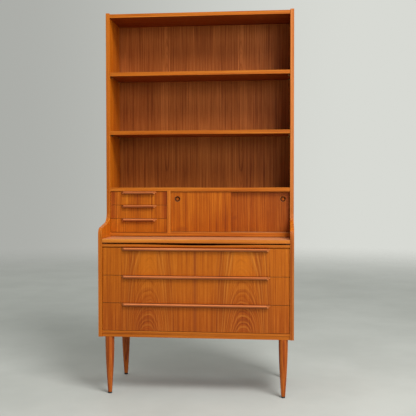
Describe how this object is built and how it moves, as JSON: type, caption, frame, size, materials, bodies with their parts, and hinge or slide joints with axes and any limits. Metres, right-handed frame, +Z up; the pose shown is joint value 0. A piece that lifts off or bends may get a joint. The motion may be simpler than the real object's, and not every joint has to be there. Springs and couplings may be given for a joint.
{
  "type": "secretary desk",
  "caption": "Tall teak secretary bookcase with open shelves, a small-drawer and sliding-door box, a pull-out writing leaf, long drawers and round tapered legs.",
  "frame": {"origin": "on the floor, under the centre of the bounding box", "axes": "+Z up, the front faces -Y, +X to the right as seen from the front"},
  "size_m": [0.92, 0.421, 1.835],
  "materials": {
    "teak": "oiled teak veneer",
    "teak_front": "oiled teak veneer, matched across the fronts",
    "teak_edge": "oiled solid teak",
    "teak_back": "teak-faced board",
    "teak_handle": "shaped solid teak, polished by use",
    "teak_leg": "turned solid teak, oiled",
    "teak_dark": "turned solid teak",
    "beech": "plain beech",
    "plywood": "thin plywood",
    "steel": "zinc-plated",
    "brass": "plain",
    "glide": "black"
  },
  "bodies": {
    "case": {"side_left": "teak", "side_right": "teak", "top_board": "teak", "upper_shelf": "teak", "middle_shelf": "teak", "shelf_pins": "brass", "box_top_board": "teak", "box_bottom_board": "teak", "box_partition": "teak_edge", "upper_back_panel": "teak_back", "lower_back_panel": "teak_back", "leaf_rail": "teak_edge", "bottom_rail": "teak_edge", "bottom_board": "teak", "leaf_runners": "beech", "large_drawer_runners": "beech", "small_drawer_runners": "beech", "door_track_lower": "teak_edge", "door_track_upper": "teak_edge", "leg_front_left": "teak_leg", "leg_front_right": "teak_leg", "leg_back_left": "teak_leg", "leg_back_right": "teak_leg", "leg_glides": "glide", "leg_inserts": "steel", "leg_studs": "steel", "case_dowels": "beech"},
    "leaf": {"writing_leaf": "teak", "leaf_stops": "beech"},
    "left_door": {"door_left": "teak_front", "door_pull_left": "teak_dark"},
    "right_door": {"door_right": "teak_front", "door_pull_right": "teak_dark"},
    "top_long_drawer": {"large_drawer_top_front": "teak_front", "large_drawer_top_handle": "teak_handle", "large_drawer_top_sides": "beech", "large_drawer_top_back": "beech", "large_drawer_top_bottom": "plywood"},
    "middle_long_drawer": {"large_drawer_middle_front": "teak_front", "large_drawer_middle_handle": "teak_handle", "large_drawer_middle_sides": "beech", "large_drawer_middle_back": "beech", "large_drawer_middle_bottom": "plywood"},
    "bottom_long_drawer": {"large_drawer_bottom_front": "teak_front", "large_drawer_bottom_handle": "teak_handle", "large_drawer_bottom_sides": "beech", "large_drawer_bottom_back": "beech", "large_drawer_bottom_bottom": "plywood"},
    "top_small_drawer": {"small_drawer_top_front": "teak_front", "small_drawer_top_handle": "teak_handle", "small_drawer_top_carcass": "beech", "small_drawer_top_bottom": "plywood"},
    "middle_small_drawer": {"small_drawer_middle_front": "teak_front", "small_drawer_middle_handle": "teak_handle", "small_drawer_middle_carcass": "beech", "small_drawer_middle_bottom": "plywood"},
    "bottom_small_drawer": {"small_drawer_bottom_front": "teak_front", "small_drawer_bottom_handle": "teak_handle", "small_drawer_bottom_carcass": "beech", "small_drawer_bottom_bottom": "plywood"}
  },
  "joints": [
    {"name": "leaf_slide", "type": "slide", "parent": "case", "child": "leaf", "axis": [0, -1, 0], "range_m": [0, 0.24]},
    {"name": "left_door_slide", "type": "slide", "parent": "case", "child": "left_door", "axis": [1, 0, 0], "range_m": [0, 0.2845]},
    {"name": "right_door_slide", "type": "slide", "parent": "case", "child": "right_door", "axis": [-1, 0, 0], "range_m": [0, 0.2845]},
    {"name": "top_long_drawer_slide", "type": "slide", "parent": "case", "child": "top_long_drawer", "axis": [0, -1, 0], "range_m": [0, 0.3]},
    {"name": "middle_long_drawer_slide", "type": "slide", "parent": "case", "child": "middle_long_drawer", "axis": [0, -1, 0], "range_m": [0, 0.3]},
    {"name": "bottom_long_drawer_slide", "type": "slide", "parent": "case", "child": "bottom_long_drawer", "axis": [0, -1, 0], "range_m": [0, 0.3]},
    {"name": "top_small_drawer_slide", "type": "slide", "parent": "case", "child": "top_small_drawer", "axis": [0, -1, 0], "range_m": [0, 0.16]},
    {"name": "middle_small_drawer_slide", "type": "slide", "parent": "case", "child": "middle_small_drawer", "axis": [0, -1, 0], "range_m": [0, 0.16]},
    {"name": "bottom_small_drawer_slide", "type": "slide", "parent": "case", "child": "bottom_small_drawer", "axis": [0, -1, 0], "range_m": [0, 0.16]}
  ]
}
